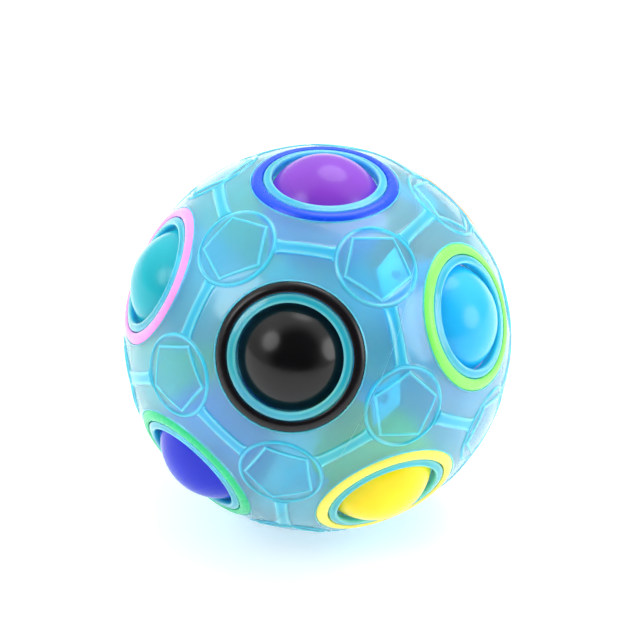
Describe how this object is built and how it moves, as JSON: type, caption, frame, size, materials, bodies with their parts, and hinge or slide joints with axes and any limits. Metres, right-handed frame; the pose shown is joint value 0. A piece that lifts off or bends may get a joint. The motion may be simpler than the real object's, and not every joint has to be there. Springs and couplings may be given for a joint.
{
  "type": "hollow ball puzzle",
  "caption": "Hollow round hand puzzle: coloured balls held in the ringed round windows of a translucent shell, pressed in and rolled to the empty window.",
  "frame": {"origin": "on the standing plane, under the centre of the round shell", "axes": "+Z from the empty window up to the window opposite it, -Y towards the middle of the front window's azimuth"},
  "size_m": [0.0756, 0.0756, 0.0756],
  "materials": {
    "shell": "translucent, lightly frosted gloss",
    "core": "soft matte rubber",
    "ring_blue": "satin",
    "ring_black": "satin",
    "ring_lime": "satin",
    "ring_orange": "satin",
    "ring_red": "satin",
    "ring_pink": "satin",
    "ring_purple": "satin",
    "ring_teal": "satin",
    "ring_green": "satin",
    "ring_yellow": "satin",
    "ring_sky": "satin",
    "ring_white": "satin",
    "ball_purple": "glossy",
    "ball_black": "glossy",
    "ball_sky": "glossy",
    "ball_red": "glossy",
    "ball_green": "glossy",
    "ball_teal": "glossy",
    "ball_orange": "glossy",
    "ball_lime": "glossy",
    "ball_blue": "glossy",
    "ball_yellow": "glossy",
    "ball_pink": "glossy"
  },
  "bodies": {
    "shell": {"left_shell": "shell", "right_shell": "shell", "ring_blue": "ring_blue", "ring_black": "ring_black", "ring_lime": "ring_lime", "ring_orange": "ring_orange", "ring_red": "ring_red", "ring_pink": "ring_pink", "ring_purple": "ring_purple", "ring_teal": "ring_teal", "ring_green": "ring_green", "ring_yellow": "ring_yellow", "ring_sky": "ring_sky", "ring_white": "ring_white"},
    "core": {"core": "core"},
    "ball_purple": {"ball_purple": "ball_purple"},
    "ball_black": {"ball_black": "ball_black"},
    "ball_sky": {"ball_sky": "ball_sky"},
    "ball_red": {"ball_red": "ball_red"},
    "ball_green": {"ball_green": "ball_green"},
    "ball_teal": {"ball_teal": "ball_teal"},
    "ball_orange": {"ball_orange": "ball_orange"},
    "ball_lime": {"ball_lime": "ball_lime"},
    "ball_blue": {"ball_blue": "ball_blue"},
    "ball_yellow": {"ball_yellow": "ball_yellow"},
    "ball_pink": {"ball_pink": "ball_pink"}
  },
  "joints": [
    {"name": "press_purple", "type": "slide", "parent": "shell", "child": "ball_purple", "axis": [0, 0, 1], "range_m": [-0.0043, 0], "stiffness_N_per_m": 600, "springref_m": 0.001, "deforming": ["core"]},
    {"name": "press_black", "type": "slide", "parent": "shell", "child": "ball_black", "axis": [0, -0.8944, 0.4472], "range_m": [-0.0043, 0], "stiffness_N_per_m": 600, "springref_m": 0.001, "deforming": ["core"]},
    {"name": "press_sky", "type": "slide", "parent": "shell", "child": "ball_sky", "axis": [0.8507, -0.2764, 0.4472], "range_m": [-0.0043, 0], "stiffness_N_per_m": 600, "springref_m": 0.001, "deforming": ["core"]},
    {"name": "press_red", "type": "slide", "parent": "shell", "child": "ball_red", "axis": [0.5257, 0.7236, 0.4472], "range_m": [-0.0043, 0], "stiffness_N_per_m": 600, "springref_m": 0.001, "deforming": ["core"]},
    {"name": "press_green", "type": "slide", "parent": "shell", "child": "ball_green", "axis": [-0.5257, 0.7236, 0.4472], "range_m": [-0.0043, 0], "stiffness_N_per_m": 600, "springref_m": 0.001, "deforming": ["core"]},
    {"name": "press_teal", "type": "slide", "parent": "shell", "child": "ball_teal", "axis": [-0.8507, -0.2764, 0.4472], "range_m": [-0.0043, 0], "stiffness_N_per_m": 600, "springref_m": 0.001, "deforming": ["core"]},
    {"name": "press_orange", "type": "slide", "parent": "shell", "child": "ball_orange", "axis": [0, 0.8944, -0.4472], "range_m": [-0.0043, 0], "stiffness_N_per_m": 600, "springref_m": 0.001, "deforming": ["core"]},
    {"name": "press_lime", "type": "slide", "parent": "shell", "child": "ball_lime", "axis": [-0.8507, 0.2764, -0.4472], "range_m": [-0.0043, 0], "stiffness_N_per_m": 600, "springref_m": 0.001, "deforming": ["core"]},
    {"name": "roll_blue", "type": "hinge", "parent": "shell", "child": "ball_blue", "pos_m": [-0.01561, -0.02148, -0.00696], "axis": [0.809, -0.5878, 0], "range_deg": [-58.05, 0], "deforming": ["core"]},
    {"name": "roll_yellow", "type": "hinge", "parent": "shell", "child": "ball_yellow", "pos_m": [0.01561, -0.02148, -0.00696], "axis": [-0.809, -0.5878, 0], "range_deg": [0, 58.05], "deforming": ["core"]},
    {"name": "press_pink", "type": "slide", "parent": "shell", "child": "ball_pink", "axis": [0.8507, 0.2764, -0.4472], "range_m": [-0.0043, 0], "stiffness_N_per_m": 600, "springref_m": 0.001, "deforming": ["core"]},
    {"name": "core_turn", "type": "hinge", "parent": "shell", "child": "core", "pos_m": [0, 0, 0.036], "axis": [0, 0, 1], "continuous": true}
  ]
}
